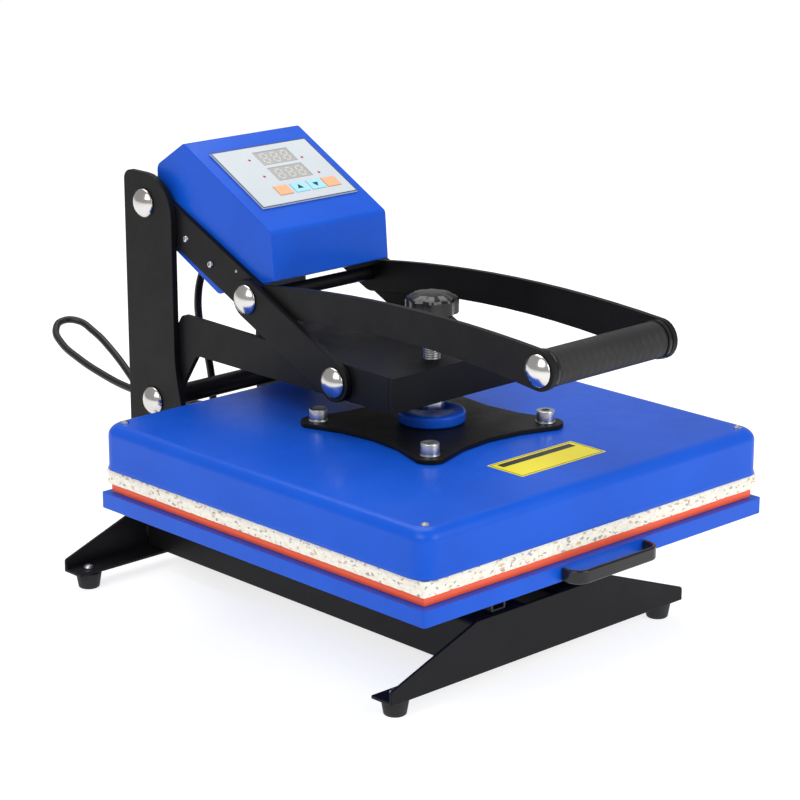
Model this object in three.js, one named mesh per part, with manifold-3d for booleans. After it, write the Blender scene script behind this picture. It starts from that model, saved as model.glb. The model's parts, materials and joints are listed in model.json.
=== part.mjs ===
// Clamshell heat press, in millimetres. +Z is up, the operator stands on the -Y side,
// and the origin is on the bench, under the middle of the machine.

import * as THREE from 'three';
import { mergeVertices } from 'three/addons/utils/BufferGeometryUtils.js';
import Module from 'manifold-3d';

const wasm = await Module();
wasm.setup();

// ---- Driving dimensions ----

const GAP = 0.3;               // clearance between pieces that touch
const PLATEN_Y = -46.5;        // centre of the platens
const PLATEN_HALF = 196.5;     // lower platen
const PAD_HALF = 190;          // silicone pad, 380 x 380
const FELT_HALF = 193;
const COVER_HALF = 196.5;

const FOOT_HEIGHT = 14.2;
const LEG_BOTTOM = FOOT_HEIGHT + GAP;
const LEG_TOP = 60.5;
const DRAWER_BOTTOM = 103;     // underside of the lower platen
const DRAWER_TOP = 116.4;
const PAD_TOP = 124.4;
const FELT_TOP = 137.4;
const HEAD_BOTTOM = FELT_TOP + GAP;
const COVER_TOP = 177.3;
const SPIDER_TOP = COVER_TOP + GAP + 4;
const DISC_TOP = SPIDER_TOP + 10.4;

// Layers across the width, as distances from the middle plane.
const BOX_HALF = 65.6;
const LEVER_LAYER = { inner: 66, outer: 71 };      // lever plates and arm plates
const LINK_LAYER = { inner: 71.5, outer: 77.3 };   // uprights and links

// Linkage pivots in side view, as (y, z).
const PIVOT_A = new THREE.Vector2(234.2, 334.8);   // lever on the uprights
const PIVOT_B = new THREE.Vector2(228.2, 156.2);   // arm on the uprights
const PIVOT_D = new THREE.Vector2(-11, 222);       // link on the arm
const LEVER_LENGTH = 149.5;
const PIVOT_C = PIVOT_D.clone().sub(PIVOT_A).setLength(LEVER_LENGTH).add(PIVOT_A);
const PIVOT_E = new THREE.Vector2(-236.5, 276.5);  // hand grip

const STRAP_HALF = 16.4;       // half width of lever, link and handle straps
const PIN_RADIUS = 6;
const HOLE_RADIUS = PIN_RADIUS + GAP;
const DOME_RADIUS = 13.2;
const DOME_HEIGHT = 6.5;
const SCREW_Y = -48;           // pressure screw axis
const SCREW_RADIUS = 7.4;

const BLACK = { color: 0x232325, roughness: 0.5, metalness: 0.15 };
const BLUE = { color: 0x1e5ad7, roughness: 0.35, metalness: 0.1 };
const CHROME = { color: 0xd9dade, roughness: 0.12, metalness: 1 };
const ZINC = { color: 0xbfc2c4, roughness: 0.3, metalness: 1 };
const STEEL = { color: 0x9a9da0, roughness: 0.4, metalness: 0.9 };
const ALUMINIUM = { color: 0xb9bcc0, roughness: 0.45, metalness: 0.9 };
const RUBBER = { color: 0x26282a, roughness: 0.8, metalness: 0 };
const BLACK_PLASTIC = { color: 0x141416, roughness: 0.35, metalness: 0 };
const SILICONE = { color: 0xee5535, roughness: 0.6, metalness: 0 };
const FELT = { color: 0xe9e4d3, roughness: 0.95, metalness: 0 };
const PANEL = { color: 0xdfe3e6, roughness: 0.45, metalness: 0 };

// ---- Placing ----

const press = new THREE.Group();
const sideFrame = new THREE.Group();     // drawn in side view: x -> Y, y -> Z, z -> X
const frontFrame = new THREE.Group();    // drawn in front view: x -> X, y -> Z, z -> -Y
sideFrame.quaternion.setFromRotationMatrix(new THREE.Matrix4().makeBasis(
  new THREE.Vector3(0, 1, 0), new THREE.Vector3(0, 0, 1), new THREE.Vector3(1, 0, 0)));
frontFrame.rotation.x = Math.PI / 2;
press.add(sideFrame, frontFrame);

function part(name, geometry, look, parent = press, place = [0, 0, 0]) {
  const mesh = new THREE.Mesh(geometry, new THREE.MeshStandardMaterial(look));
  mesh.name = name;
  mesh.position.set(...place);
  parent.add(mesh);
  return mesh;
}

// ---- Solids ----

function toSolid(geometry) {
  const bare = geometry.clone();
  bare.deleteAttribute('normal');
  bare.deleteAttribute('uv');
  const merged = mergeVertices(bare, 1e-4);
  return new wasm.Manifold(new wasm.Mesh({
    numProp: 3,
    vertProperties: new Float32Array(merged.attributes.position.array),
    triVerts: new Uint32Array(merged.index.array),
  }));
}

function fromSolid(solid) {
  const mesh = solid.getMesh();
  const geometry = new THREE.BufferGeometry();
  geometry.setAttribute('position', new THREE.BufferAttribute(mesh.vertProperties, 3));
  geometry.setIndex(new THREE.BufferAttribute(mesh.triVerts, 1));
  return geometry;
}

function cut(geometry, ...tools) {
  return fromSolid(tools.reduce((solid, tool) => solid.subtract(toSolid(tool)), toSolid(geometry)));
}

function join(geometry, ...others) {
  return fromSolid(others.reduce((solid, other) => solid.add(toSolid(other)), toSolid(geometry)));
}

// An outline through corners [x, y, radius], each rounded by an arc of its radius.
function outline(corners) {
  const shape = new THREE.Shape();
  corners.forEach(([x, y, radius = 0], i) => {
    const here = new THREE.Vector2(x, y);
    if (radius === 0) {
      i === 0 ? shape.moveTo(x, y) : shape.lineTo(x, y);
      return;
    }
    const before = new THREE.Vector2(...corners.at(i - 1)).sub(here).normalize();
    const after = new THREE.Vector2(...corners[(i + 1) % corners.length]).sub(here).normalize();
    const halfAngle = Math.acos(before.dot(after)) / 2;
    const start = here.clone().addScaledVector(before, radius / Math.tan(halfAngle));
    const end = here.clone().addScaledVector(after, radius / Math.tan(halfAngle));
    const centre = before.clone().add(after).setLength(radius / Math.sin(halfAngle)).add(here);
    i === 0 ? shape.moveTo(start.x, start.y) : shape.lineTo(start.x, start.y);
    shape.absarc(centre.x, centre.y, radius, start.clone().sub(centre).angle(),
      end.clone().sub(centre).angle(), before.cross(after) > 0);
  });
  shape.closePath();
  return shape;
}

function squareOutline(half, radius) {
  return outline([
    [-half, -half, radius], [half, -half, radius], [half, half, radius], [-half, half, radius],
  ]);
}

function slab(shape, from, to, curveSegments = 3) {
  const geometry = new THREE.ExtrudeGeometry(shape, { depth: to - from, bevelEnabled: false, curveSegments });
  return geometry.translate(0, 0, from);
}

function box(x0, x1, y0, y1, z0, z1) {
  return new THREE.BoxGeometry(x1 - x0, y1 - y0, z1 - z0)
    .translate((x0 + x1) / 2, (y0 + y1) / 2, (z0 + z1) / 2);
}

// A cylinder along the local z axis.
function rod(radius, from, to, x = 0, y = 0, segments = 20) {
  return new THREE.CylinderGeometry(radius, radius, to - from, segments)
    .rotateX(Math.PI / 2).translate(x, y, (from + to) / 2);
}

// A turned piece along the local z axis, from its profile of [radius, height] points.
function turned(profile, segments = 20) {
  return new THREE.LatheGeometry(profile.map(([r, z]) => new THREE.Vector2(r, z)), segments)
    .rotateX(Math.PI / 2);
}

function arcPoints(centreR, centreZ, radius, from, to, steps) {
  return Array.from({ length: steps + 1 }, (_, i) => {
    const angle = from + (to - from) * i / steps;
    return [centreR + radius * Math.cos(angle), centreZ + radius * Math.sin(angle)];
  });
}

// Calls make(side, sign) for the left (-X) and the right (+X) copy.
function bothSides(make) {
  make('left', -1);
  make('right', 1);
}

// The span of a layer on one side, low to high.
function layerSpan({ inner, outer }, sign) {
  return sign < 0 ? [-outer, -inner] : [inner, outer];
}

function strapPlate(shape, layer, sign, holes, curveSegments = 4) {
  const [from, to] = layerSpan(layer, sign);
  return cut(slab(shape, from, to, curveSegments),
    ...holes.map((hole) => rod(HOLE_RADIUS, from - 1, to + 1, hole.x, hole.y)));
}

// ---- Base: legs, rails, feet ----

const LEG_HALF = 171.5;
const LEG_FRONT = { plate: -181.1, flange: -157.5 };
const LEG_REAR = { plate: 241.5, flange: 218 };
const LEG_WALL = 3;
const RAIL = { inner: 18, outer: 80, wall: 2.5 };
const FOOT_X = 155;

function leg(name, { plate, flange }) {
  const direction = Math.sign(flange - plate);
  const face = outline([
    [-LEG_HALF, LEG_BOTTOM, 2], [LEG_HALF, LEG_BOTTOM, 2], [LEG_HALF, LEG_BOTTOM + 11.5, 3],
    [78, LEG_TOP, 10], [-78, LEG_TOP, 10], [-LEG_HALF, LEG_BOTTOM + 11.5, 3],
  ]);
  const inside = plate + direction * LEG_WALL;
  const web = slab(face, -Math.max(plate, inside), -Math.min(plate, inside));
  web.rotateX(Math.PI / 2);
  const ledge = box(-LEG_HALF, LEG_HALF, Math.min(plate, flange), Math.max(plate, flange),
    LEG_BOTTOM, LEG_BOTTOM + LEG_WALL);
  part(name, join(web, ledge), BLACK);
}

leg('front_leg', LEG_FRONT);
leg('rear_leg', LEG_REAR);

const railFrom = LEG_FRONT.plate + LEG_WALL + GAP;
const railTo = LEG_REAR.plate - LEG_WALL - GAP;
const railBottom = LEG_BOTTOM + LEG_WALL + GAP;
bothSides((side, sign) => {
  const low = Math.min(sign * RAIL.inner, sign * RAIL.outer);
  const high = Math.max(sign * RAIL.inner, sign * RAIL.outer);
  const section = outline([
    [low, railBottom], [low + RAIL.wall, railBottom], [low + RAIL.wall, LEG_TOP - RAIL.wall, 2],
    [high - RAIL.wall, LEG_TOP - RAIL.wall, 2], [high - RAIL.wall, railBottom], [high, railBottom],
    [high, LEG_TOP, 4.5], [low, LEG_TOP, 4.5],
  ]);
  part(`${side}_rail`, slab(section, 0, railTo - railFrom), BLACK, frontFrame, [0, 0, -railTo]);
});

const footProfile = [[0, 0], [7.5, 0], ...arcPoints(7.5, 2, 2, -Math.PI / 2, 0, 3),
  [11.6, FOOT_HEIGHT], [0, FOOT_HEIGHT]];
const footRows = { front: -167.5, rear: 228 };
for (const [row, y] of Object.entries(footRows)) {
  bothSides((side, sign) => {
    part(`${row}_${side}_foot`, turned(footProfile), RUBBER, press, [sign * FOOT_X, y, 0]);
  });
}

// ---- Base: uprights, rear tie and pivot bolts ----

const UPRIGHT_TOP = 361.6;
const uprightBottom = LEG_TOP + GAP;
const uprightShape = outline([
  [241, uprightBottom], [262, 100, 30], [262, UPRIGHT_TOP, 9], [197, UPRIGHT_TOP, 36],
  [196.5, 190, 150], [176, 110, 60], [176, uprightBottom],
]);
bothSides((side, sign) => {
  const plate = strapPlate(uprightShape, LINK_LAYER, sign, [PIVOT_A, PIVOT_B]);
  const [from, to] = layerSpan({ inner: 40, outer: LINK_LAYER.outer }, sign);
  const sole = box(176, 240, uprightBottom, uprightBottom + 4, from, to);
  part(`${side}_upright`, join(plate, sole), BLACK, sideFrame);
});

const TIE = { from: 240.5, to: 244.5, top: 118 };
const tieHalf = LINK_LAYER.inner - GAP;
part('rear_tie_plate', box(-tieHalf, tieHalf, TIE.from, TIE.to, uprightBottom, TIE.top), BLACK);

// ---- Pins and rods with domed heads ----

const domeSphere = (DOME_RADIUS ** 2 + DOME_HEIGHT ** 2) / (2 * DOME_HEIGHT);
const domeAngle = Math.asin(DOME_RADIUS / domeSphere);

// The profile of a head that sits outside `face`, from the pin's wall to the tip on the axis.
function domedHead(face) {
  const base = face + GAP;
  const tip = base + 1 + DOME_HEIGHT;
  const crown = arcPoints(0, tip - domeSphere, domeSphere, Math.PI / 2 - domeAngle, Math.PI / 2, 3);
  return [[PIN_RADIUS, base], [DOME_RADIUS, base], ...crown.slice(0, -1), [0, tip]];
}

// A short pin from the face `inner` to a head outside the face `outer`.
function pivotPin(name, sign, inner, outer, pivot) {
  const geometry = turned([[0, inner], [PIN_RADIUS, inner], ...domedHead(outer)], 20);
  if (sign < 0) geometry.rotateY(Math.PI);
  part(name, geometry, CHROME, sideFrame, [pivot.x, pivot.y, 0]);
}

// A rod right across the press with a head at each end, and anything in `collar` inside them.
function pivotRod(name, outer, pivot, collar = []) {
  const end = [...collar, ...domedHead(outer)];
  const start = end.map(([r, z]) => [r, -z]).reverse();
  part(name, turned([...start, ...end], 20), CHROME, sideFrame, [pivot.x, pivot.y, 0]);
}

bothSides((side, sign) => {
  pivotPin(`${side}_lever_pivot_pin`, sign, LEVER_LAYER.inner, LINK_LAYER.outer, PIVOT_A);
  pivotPin(`${side}_arm_link_pin`, sign, LINK_LAYER.inner, LINK_LAYER.outer, PIVOT_D);
});
pivotRod('arm_pivot_rod', LINK_LAYER.outer, PIVOT_B);
pivotRod('lever_link_rod', LINK_LAYER.outer, PIVOT_C);

// ---- Drawer: runners, lower platen, pad, felt, handle ----

const RUNNER = { x: 49, half: 8, wall: 2, lip: 4, from: -176, to: 130, top: 97 };
const SLIDER = { half: 5.5, neck: 2.5, flange: 14, flangeWall: 2 };
const runnerBottom = LEG_TOP + GAP;
const runnerRoof = RUNNER.top - RUNNER.wall;

// A symmetric section, from its right half listed from the bottom to the top.
function symmetricOutline(half) {
  return outline([...half, ...half.map(([x, y]) => [-x, y]).reverse()]);
}

bothSides((side, sign) => {
  const wallInner = RUNNER.half - RUNNER.wall;
  const channelFloor = runnerBottom + RUNNER.wall;
  const opening = RUNNER.half - RUNNER.lip;
  const channel = outline([
    [-RUNNER.half, runnerBottom], [RUNNER.half, runnerBottom], [RUNNER.half, RUNNER.top],
    [opening, RUNNER.top], [opening, runnerRoof], [wallInner, runnerRoof], [wallInner, channelFloor],
    [-wallInner, channelFloor], [-wallInner, runnerRoof], [-opening, runnerRoof], [-opening, RUNNER.top],
    [-RUNNER.half, RUNNER.top],
  ]);
  part(`${side}_runner`, slab(channel, 0, RUNNER.to - RUNNER.from), ZINC, frontFrame,
    [sign * RUNNER.x, 0, -RUNNER.to]);
  const flangeTop = DRAWER_BOTTOM - GAP;
  const flangeLow = flangeTop - SLIDER.flangeWall;
  const slider = symmetricOutline([
    [SLIDER.half, channelFloor + 4], [SLIDER.half, runnerRoof - 1], [SLIDER.neck, runnerRoof - 1],
    [SLIDER.neck, flangeLow], [SLIDER.flange, flangeLow], [SLIDER.flange, flangeTop],
  ]);
  part(`${side}_slider`, slab(slider, 0, RUNNER.to - RUNNER.from - 4), STEEL, frontFrame,
    [sign * RUNNER.x, 0, 2 - RUNNER.to]);
});

const TRAY_WALL = 3;
const RIB_HALF = 16;
const trayInner = PLATEN_HALF - TRAY_WALL;
const pocketSpans = [
  [-trayInner, -RUNNER.x - RIB_HALF],
  [-RUNNER.x + RIB_HALF, RUNNER.x - RIB_HALF],
  [RUNNER.x + RIB_HALF, trayInner],
];
const pockets = pocketSpans.map(([from, to]) => box(from, to, -trayInner, trayInner,
  DRAWER_BOTTOM - 1, DRAWER_TOP - TRAY_WALL));
part('lower_platen', cut(slab(squareOutline(PLATEN_HALF, 3), DRAWER_BOTTOM, DRAWER_TOP), ...pockets),
  BLUE, press, [0, PLATEN_Y, 0]);
part('silicone_pad', slab(squareOutline(PAD_HALF, 2), DRAWER_TOP + GAP, PAD_TOP), SILICONE,
  press, [0, PLATEN_Y, 0]);
part('felt_pad', slab(squareOutline(FELT_HALF, 1), PAD_TOP + GAP, FELT_TOP), FELT,
  press, [0, PLATEN_Y, 0]);

const HANDLE = { half: 49, front: -262, wall: 3.5, bottom: 103.6, top: 115, bend: 12 };
const handleRoot = PLATEN_Y - PLATEN_HALF - GAP;
const handleInner = HANDLE.half - HANDLE.wall;
const handleBack = HANDLE.front + HANDLE.wall;
const innerBend = HANDLE.bend - HANDLE.wall;
part('drawer_handle', slab(outline([
  [-HANDLE.half, handleRoot], [-HANDLE.half, HANDLE.front, HANDLE.bend],
  [HANDLE.half, HANDLE.front, HANDLE.bend], [HANDLE.half, handleRoot], [handleInner, handleRoot],
  [handleInner, handleBack, innerBend], [-handleInner, handleBack, innerBend],
  [-handleInner, handleRoot],
]), HANDLE.bottom, HANDLE.top, 4), BLACK_PLASTIC);

// ---- Lever: plates and grip ----

const HANDLE_RISE = 12.4;      // how far the handle strap bows above the line from C to E
const HANDLE_TOP = { half: 11.4, rise: 9.8 };   // its upper edge dips towards the elbow

// The strap from A to C, bent at C into a bow that ends round the grip at E.
// Where a line meets a circle, at the crossing nearer to the line's own point.
function lineMeetsCircle(point, way, centre, radius) {
  const from = point.clone().sub(centre);
  const toMiddle = -from.dot(way);
  const halfChord = Math.sqrt(toMiddle ** 2 - from.lengthSq() + radius ** 2);
  const step = toMiddle > 0 ? toMiddle - halfChord : toMiddle + halfChord;
  return point.clone().addScaledVector(way, step);
}

// The circle whose arc bows by a rise above the chord between two points.
function bowCircle(from, to, rise) {
  const chord = to.clone().sub(from);
  const radius = (chord.length() ** 2 / 4 + rise ** 2) / (2 * rise);
  const up = new THREE.Vector2(chord.y, -chord.x).normalize();
  return { radius, centre: from.clone().addScaledVector(chord, 0.5).addScaledVector(up, rise - radius) };
}

function leverOutline() {
  const along = PIVOT_C.clone().sub(PIVOT_A).normalize();
  const up = new THREE.Vector2(along.y, -along.x);
  const bow = bowCircle(PIVOT_C, PIVOT_E, HANDLE_RISE);
  const outward = PIVOT_C.clone().sub(bow.centre).normalize();
  const endWay = PIVOT_E.clone().sub(bow.centre).normalize();
  const endAngle = endWay.angle();
  const topEnd = PIVOT_E.clone().addScaledVector(endWay, STRAP_HALF);
  const top = bowCircle(PIVOT_C.clone().addScaledVector(outward, HANDLE_TOP.half), topEnd, HANDLE_TOP.rise);
  const crook = lineMeetsCircle(PIVOT_C.clone().addScaledVector(up, STRAP_HALF), along,
    top.centre, top.radius);

  const shape = new THREE.Shape();
  shape.moveTo(crook.x, crook.y);
  shape.absarc(top.centre.x, top.centre.y, top.radius, crook.clone().sub(top.centre).angle(),
    topEnd.clone().sub(top.centre).angle(), false);
  shape.absarc(PIVOT_E.x, PIVOT_E.y, STRAP_HALF, endAngle, endAngle + Math.PI, false);
  shape.absarc(bow.centre.x, bow.centre.y, bow.radius - STRAP_HALF, endAngle, outward.angle(), true);
  shape.absarc(PIVOT_C.x, PIVOT_C.y, STRAP_HALF, outward.angle() + Math.PI, up.angle() + Math.PI, false);
  shape.absarc(PIVOT_A.x, PIVOT_A.y, STRAP_HALF, up.angle() - Math.PI, up.angle(), false);
  shape.closePath();
  return shape;
}

bothSides((side, sign) => {
  part(`${side}_lever_plate`, strapPlate(leverOutline(), LEVER_LAYER, sign, [PIVOT_A, PIVOT_C, PIVOT_E], 6),
    BLACK, sideFrame);
});

const GRIP = { radius: 15, tubeRadius: 12.5, flangeRadius: 16, flange: 3.5 };
const gripEnd = LEVER_LAYER.inner - GAP;
const flangeFace = gripEnd - GRIP.flange;
pivotRod('grip_bar', LEVER_LAYER.outer, PIVOT_E, [
  [GRIP.tubeRadius, flangeFace], [GRIP.flangeRadius, flangeFace], [GRIP.flangeRadius, gripEnd],
  [PIN_RADIUS, gripEnd],
]);

function sleeve(inner, outer, half) {
  return turned([[inner, -half], [outer, -half], [outer, half], [inner, half], [inner, -half]], 24);
}

part('grip_sleeve', sleeve(GRIP.tubeRadius + GAP, GRIP.radius, flangeFace - GAP), RUBBER, sideFrame,
  [PIVOT_E.x, PIVOT_E.y, 0]);

// ---- Lever: control box ----

// The box in side view, as (y, z). Its face slopes up to the rear, its two lower sides are open.
const BOX = {
  chin: new THREE.Vector2(74.5, 290),
  brow: new THREE.Vector2(77.8, 331.5),
  crest: new THREE.Vector2(192, 391.8),
  nape: new THREE.Vector2(229.3, 368),
  heel: new THREE.Vector2(229.3, 307),
  keel: new THREE.Vector2(148.5, 266),
  wall: 1.6,
};
const FACE = { left: -52.4, right: 55.6, low: 29, high: 108, thickness: 2 };
const WINDOW = { left: -11, right: 27, rows: [[59, 77], [81.5, 99.5]] };
const KEY = { half: 7.5, low: 40.5, high: 52.5, rise: 0.6, travel: 0.3 };
const KEYS = [
  { name: 'set_key', x: -16.5, color: 0xf6b98a },
  { name: 'down_key', x: 2, color: 0xa9dcec },
  { name: 'up_key', x: 20.5, color: 0xa9dcec },
  { name: 'start_key', x: 38, color: 0xf6b98a },
];
const SWITCH = { x: -25, z: 337, half: 8, reach: 10, from: 224, to: 232.5 };

// The sloping face's own frame: x to the right, y up the slope from the brow, z out of the face.
const faceFrame = new THREE.Group();
faceFrame.position.set(0, BOX.brow.x, BOX.brow.y);
faceFrame.rotation.x = BOX.crest.clone().sub(BOX.brow).angle();
press.add(faceFrame);
press.updateMatrixWorld(true);

// The same geometry, told in another group's frame.
function retold(geometry, from, to) {
  return geometry.clone().applyMatrix4(to.matrixWorld.clone().invert().multiply(from.matrixWorld));
}

function boxOutline() {
  const { chin, brow, crest, nape, heel, keel } = BOX;
  return outline([
    [keel.x, keel.y, 6], [heel.x, heel.y], [nape.x, nape.y, 8], [crest.x, crest.y, 5],
    [brow.x, brow.y, 5], [chin.x, chin.y],
  ]);
}

// Everything inside the walls, and a little past the open lower sides.
function boxHollow() {
  const { chin, brow, crest, nape, heel, keel, wall } = BOX;
  const past = 6;
  return outline([
    [keel.x, keel.y - past], [heel.x - wall, heel.y - past], [nape.x - wall, nape.y - 0.8 * wall, 6],
    [crest.x, crest.y - 1.2 * wall, 4], [brow.x + wall, brow.y - 0.6 * wall, 4],
    [chin.x + wall, chin.y - past],
  ]);
}

const windowHoles = WINDOW.rows.map(([low, high]) => box(WINDOW.left - GAP, WINDOW.right + GAP,
  low - GAP, high + GAP, -4, 4));
const keyHoles = KEYS.map(({ x }) => box(x - KEY.half - GAP, x + KEY.half + GAP, KEY.low - GAP,
  KEY.high + GAP, -1, 4));
const switchHole = box(SWITCH.x - SWITCH.half - 0.6, SWITCH.x + SWITCH.half + 0.6, SWITCH.from,
  SWITCH.to, SWITCH.z - SWITCH.reach - 1.2, SWITCH.z + SWITCH.reach + 1.2);
part('control_box', cut(slab(boxOutline(), -BOX_HALF, BOX_HALF),
  slab(boxHollow(), BOX.wall - BOX_HALF, BOX_HALF - BOX.wall),
  ...windowHoles.map((hole) => retold(hole, faceFrame, sideFrame)),
  retold(switchHole, press, sideFrame)), BLUE, sideFrame);

// The folded sheet that closes the lower sides.
const baseFrom = BOX.chin.x + BOX.wall + 3 * GAP;
const baseTo = BOX.heel.x - BOX.wall - GAP;
const frontFall = (BOX.keel.y - BOX.chin.y) / (BOX.keel.x - BOX.chin.x);
const rearRise = (BOX.heel.y - BOX.keel.y) / (BOX.heel.x - BOX.keel.x);
const baseFold = [
  [baseFrom, BOX.chin.y + frontFall * (baseFrom - BOX.chin.x)],
  [BOX.keel.x, BOX.keel.y],
  [baseTo, BOX.keel.y + rearRise * (baseTo - BOX.keel.x)],
];
const baseSheet = outline([...baseFold, ...baseFold.map(([y, z]) => [y, z + 1.8]).reverse()]);
const baseHalf = BOX_HALF - BOX.wall - GAP;
part('control_box_base', slab(baseSheet, -baseHalf, baseHalf), BLUE, sideFrame);

part('control_panel', cut(box(FACE.left, FACE.right, FACE.low, FACE.high, GAP, FACE.thickness),
  ...windowHoles, ...keyHoles), PANEL, faceFrame);
for (const { name, x, color } of KEYS) {
  part(name, box(x - KEY.half, x + KEY.half, KEY.low, KEY.high, GAP + KEY.travel,
    FACE.thickness + KEY.rise), { ...PANEL, color }, faceFrame);
}
const boardTop = -BOX.wall - 3;
part('control_board', join(box(-48, 48, 32, 104, boardTop - BOX.wall, boardTop),
  ...WINDOW.rows.map(([low, high]) => box(WINDOW.left, WINDOW.right, low, high, boardTop - 1,
    FACE.thickness - 0.4))), BLACK_PLASTIC, faceFrame);
part('power_switch', box(SWITCH.x - SWITCH.half, SWITCH.x + SWITCH.half, SWITCH.from, SWITCH.to,
  SWITCH.z - SWITCH.reach, SWITCH.z + SWITCH.reach), BLACK_PLASTIC);

const INLET = { x: 22, z: 337, half: 15, reach: 12, depth: 5, rim: 3, floor: 2 };
const inletBack = BOX.heel.x + GAP;
const inletFace = inletBack + INLET.depth;
const inletPocket = box(INLET.x - INLET.half + INLET.rim, INLET.x + INLET.half - INLET.rim,
  inletBack + INLET.floor, inletFace + 1, INLET.z - INLET.reach + INLET.rim,
  INLET.z + INLET.reach - INLET.rim);
part('mains_inlet', cut(box(INLET.x - INLET.half, INLET.x + INLET.half, inletBack, inletFace,
  INLET.z - INLET.reach, INLET.z + INLET.reach), inletPocket), BLACK_PLASTIC);

// ---- Links ----

const LINK_END = 17;

function linkOutline() {
  const angle = PIVOT_D.clone().sub(PIVOT_C).angle();
  const shape = new THREE.Shape();
  shape.absarc(PIVOT_D.x, PIVOT_D.y, LINK_END, angle - Math.PI / 2, angle + Math.PI / 2, false);
  shape.absarc(PIVOT_C.x, PIVOT_C.y, LINK_END, angle + Math.PI / 2, angle + 1.5 * Math.PI, false);
  shape.closePath();
  return shape;
}

bothSides((side, sign) => {
  part(`${side}_link`, strapPlate(linkOutline(), LINK_LAYER, sign, [PIVOT_C, PIVOT_D], 6), BLACK, sideFrame);
});

// ---- Arm ----

const ARM = { front: -76, low: 207, high: 237, rearHigh: 241, wall: 5, roofTo: 107, legHalf: 17 };
const LEG_WAY = new THREE.Vector2(0.555, -0.832);      // from the elbow down to B
const legAcross = new THREE.Vector2(-LEG_WAY.y, LEG_WAY.x);

// A point on the arm's lower leg: so far along it from B, so far across it.
function onLeg(along, across) {
  return PIVOT_B.clone().addScaledVector(LEG_WAY, along).addScaledVector(legAcross, across);
}

function onLegAt(z, across) {
  const edge = onLeg(0, across);
  return onLeg((z - edge.y) / LEG_WAY.y, across);
}

function armOutline() {
  const notch = onLegAt(ARM.low, -ARM.legHalf);
  const toe = onLeg(ARM.legHalf, -ARM.legHalf);
  const heel = onLeg(ARM.legHalf, ARM.legHalf);
  const elbow = onLegAt(ARM.rearHigh, ARM.legHalf);
  const from = ARM.front + ARM.wall + GAP;
  return outline([
    [from, ARM.low], [notch.x, notch.y, 8], [toe.x, toe.y, ARM.legHalf - 0.1],
    [heel.x, heel.y, ARM.legHalf - 0.1], [elbow.x, elbow.y, 8], [from, ARM.high],
  ]);
}

bothSides((side, sign) => {
  part(`${side}_arm_plate`, strapPlate(armOutline(), LEVER_LAYER, sign, [PIVOT_B], 4), BLACK, sideFrame);
});

const armInner = LEVER_LAYER.inner - GAP;
const BOSS_RADIUS = 15;
const screwBore = rod(SCREW_RADIUS + 0.4, ARM.low - 1, ARM.high + 1, 0, SCREW_Y);
part('arm_block', cut(join(
  box(-LEVER_LAYER.outer, LEVER_LAYER.outer, ARM.front, ARM.front + ARM.wall, ARM.low, ARM.high),
  box(-armInner, armInner, ARM.front + 1, ARM.roofTo, ARM.high - ARM.wall, ARM.high - 0.5),
  rod(BOSS_RADIUS, ARM.low, ARM.high - 1, 0, SCREW_Y),
), screwBore), BLACK);
part('arm_spacer_tube', sleeve(PIN_RADIUS + GAP, 8.9, armInner), BLACK, sideFrame,
  [PIVOT_B.x, PIVOT_B.y, 0]);

// ---- Head: cover, spider, disc, insulation, heat platen ----

const COVER = { wall: 2, corner: 16, edge: 10 };

// The cover's outer solid: rounded at the top edge, cut off flat at the bottom.
function coverBlock() {
  const block = new THREE.ExtrudeGeometry(squareOutline(COVER_HALF, COVER.corner), {
    depth: 100 - 2 * COVER.edge, curveSegments: 4, bevelSegments: 3,
    bevelThickness: COVER.edge, bevelSize: COVER.edge, bevelOffset: -COVER.edge,
  });
  block.translate(0, 0, COVER_TOP - 100 + COVER.edge);
  const reach = COVER_HALF + 1;
  return cut(block, box(-reach, reach, -reach, reach, COVER_TOP - 101, HEAD_BOTTOM));
}

const coverInner = COVER_HALF - COVER.wall;
part('head_cover', cut(coverBlock(), slab(squareOutline(coverInner, COVER.corner - COVER.wall),
  HEAD_BOTTOM - 1, COVER_TOP - COVER.edge), slab(squareOutline(coverInner - 5, COVER.corner - 5),
  HEAD_BOTTOM, COVER_TOP - COVER.wall)), BLUE, press, [0, PLATEN_Y, 0]);
const heatTop = HEAD_BOTTOM + 12;
part('heat_platen', slab(squareOutline(coverInner - 1, COVER.corner - COVER.wall), HEAD_BOTTOM, heatTop),
  ALUMINIUM, press, [0, PLATEN_Y, 0]);
part('insulation', slab(squareOutline(coverInner - 6, 12), heatTop + GAP, COVER_TOP - COVER.wall - 3),
  { color: 0xd8d2c2, roughness: 0.95, metalness: 0 }, press, [0, PLATEN_Y, 0]);

const SPIDER = { bolt: 67, lobe: 15, waist: 67 };

function spiderOutline() {
  const reach = SPIDER.bolt + SPIDER.lobe;
  const pull = 2 * SPIDER.waist - reach;
  const shape = new THREE.Shape();
  for (let i = 0; i < 4; i++) {
    const turn = i * Math.PI / 2;
    const bolt = new THREE.Vector2(SPIDER.bolt, SPIDER.bolt).rotateAround(new THREE.Vector2(), turn);
    const control = new THREE.Vector2(0, pull).rotateAround(new THREE.Vector2(), turn);
    const next = new THREE.Vector2(-SPIDER.bolt, reach).rotateAround(new THREE.Vector2(), turn);
    shape.absarc(bolt.x, bolt.y, SPIDER.lobe, turn, turn + Math.PI / 2, false);
    shape.quadraticCurveTo(control.x, control.y, next.x, next.y);
  }
  return shape;
}

part('spider_plate', slab(spiderOutline(), COVER_TOP + GAP, SPIDER_TOP, 4), BLACK, press, [0, SCREW_Y, 0]);

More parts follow.
